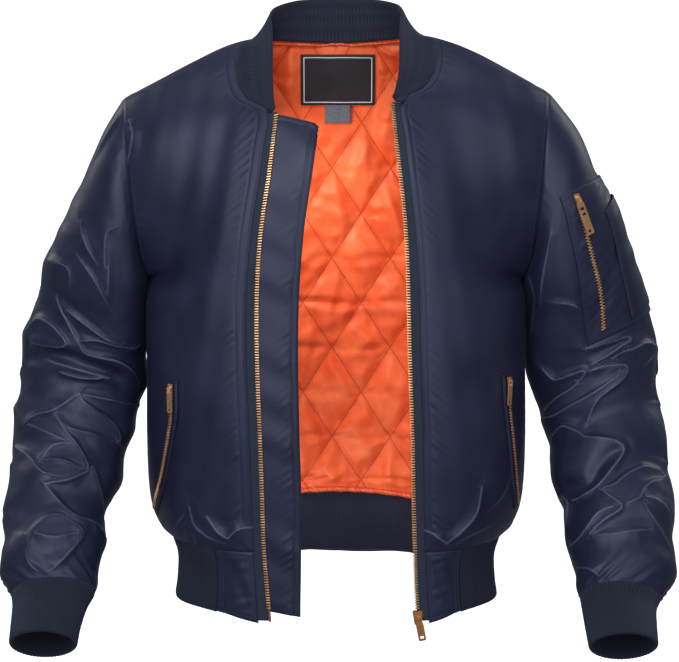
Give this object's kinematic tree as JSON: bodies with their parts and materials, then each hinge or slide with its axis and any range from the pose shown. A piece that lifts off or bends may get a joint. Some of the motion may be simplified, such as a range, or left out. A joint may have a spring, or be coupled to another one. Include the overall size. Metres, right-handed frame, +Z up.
{
  "type": "bomber jacket",
  "caption": "Bomber jacket held open in front: satin nylon shell, rib-knit collar, cuffs and hem, quilted lining, slanted zip pockets and a zipped sleeve pocket.",
  "frame": {"origin": "centre of the neck opening, level with the points where the collar meets the shoulders", "axes": "+X to the wearer's left, +Y out of the back, -Y out of the front, +Z up"},
  "size_m": [0.7947, 0.3593, 0.7545],
  "materials": {
    "navy_nylon": "satin",
    "navy_rib": "matt rib knit",
    "orange_lining": "satin, quilted",
    "zip_tape": "woven",
    "gold_metal": "polished copper gold",
    "black_label": "woven satin",
    "grey_label": "woven"
  },
  "bodies": {
    "jacket": {"back": "navy_nylon", "front_left": "navy_nylon", "front_right": "navy_nylon", "sleeve_left": "navy_nylon", "sleeve_right": "navy_nylon", "collar": "navy_rib", "cuff_left": "navy_rib", "cuff_right": "navy_rib", "waistband": "navy_rib", "waistband_end_left": "navy_nylon", "waistband_end_right": "navy_nylon", "lining_back": "orange_lining", "lining_front_left": "orange_lining", "lining_front_right": "orange_lining", "wind_flap": "navy_nylon", "zip_tape_left": "zip_tape", "zip_tape_right": "zip_tape", "zip_chain_left": "gold_metal", "zip_chain_right": "gold_metal", "zip_pin": "gold_metal", "main_slider": "gold_metal", "pocket_welt_left": "zip_tape", "pocket_welt_right": "zip_tape", "pocket_chain_left": "gold_metal", "pocket_chain_right": "gold_metal", "pocket_slider_left": "gold_metal", "pocket_slider_right": "gold_metal", "sleeve_patch": "navy_nylon", "pen_pocket": "navy_nylon", "sleeve_chain": "gold_metal", "sleeve_slider": "gold_metal", "label_main": "black_label", "label_size": "grey_label"},
    "main_pull": {"main_pull": "gold_metal"},
    "pocket_pull_left": {"pocket_pull_left": "gold_metal"},
    "pocket_pull_right": {"pocket_pull_right": "gold_metal"},
    "sleeve_pull": {"sleeve_pull": "gold_metal"}
  },
  "joints": [
    {"name": "main_pull_swing", "type": "hinge", "parent": "jacket", "child": "main_pull", "pos_m": [0.09559, -0.12139, -0.67622], "axis": [-0.9737, -0.1179, -0.1947], "range_deg": [0, 150]},
    {"name": "pocket_pull_left_swing", "type": "hinge", "parent": "jacket", "child": "pocket_pull_left", "pos_m": [0.20345, -0.0866, -0.40335], "axis": [-0.6134, -0.7803, 0.1219], "range_deg": [0, 150]},
    {"name": "pocket_pull_right_swing", "type": "hinge", "parent": "jacket", "child": "pocket_pull_right", "pos_m": [-0.19362, -0.09905, -0.41029], "axis": [-0.6962, 0.717, -0.0347], "range_deg": [0, 150]},
    {"name": "sleeve_pull_swing", "type": "hinge", "parent": "jacket", "child": "sleeve_pull", "pos_m": [0.28169, -0.06602, -0.19106], "axis": [-0.8183, -0.4656, -0.3371], "range_deg": [0, 150]}
  ]
}
